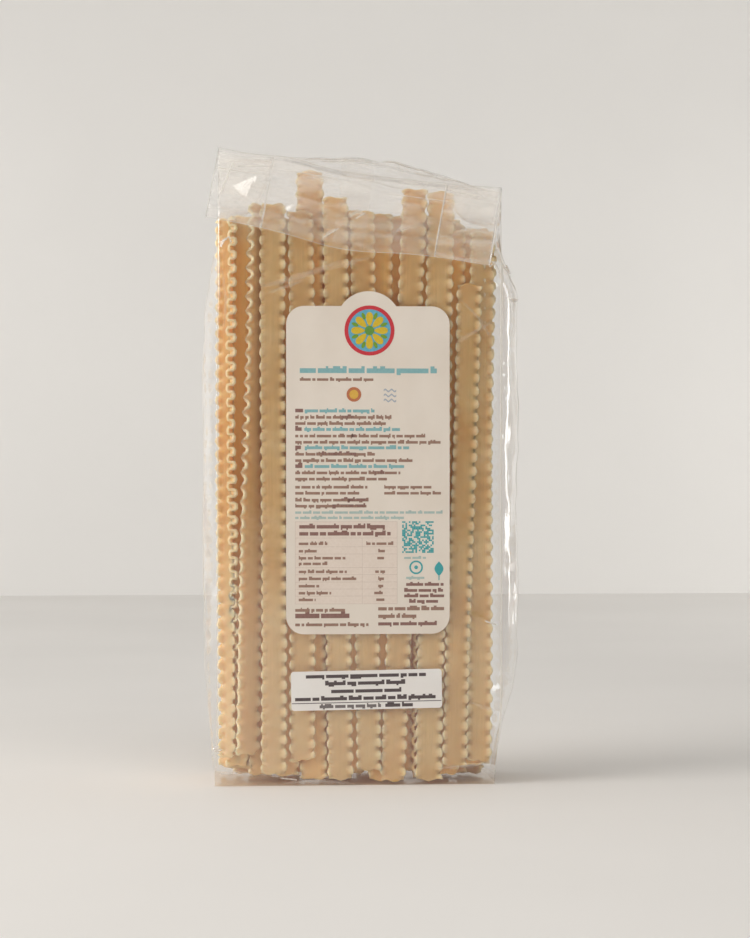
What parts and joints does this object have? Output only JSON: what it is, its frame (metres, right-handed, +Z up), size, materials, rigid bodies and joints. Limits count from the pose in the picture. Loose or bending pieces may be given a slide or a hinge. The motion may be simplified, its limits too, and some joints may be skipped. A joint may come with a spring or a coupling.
{
  "type": "bag of mafaldine pasta",
  "caption": "Clear block-bottom bag of long wavy-edged pasta ribbons, its mouth folded forward as a flap, with a large beige label and a small white one on the front.",
  "frame": {"origin": "middle of the whole box's footprint, on the level that the block bottom stands on", "axes": "+Z up along the ribbons; the labelled front faces -Y; +X to the right seen from the front"},
  "size_m": [0.135, 0.0509, 0.269],
  "materials": {
    "pasta_in_film": "dry durum wheat pasta, cream to straw yellow, behind clear glossy film",
    "label_paper": null,
    "white_paper": null
  },
  "bodies": {
    "root": {"bag": "pasta_in_film", "main_label": "label_paper", "small_label": "white_paper"}
  },
  "joints": []
}
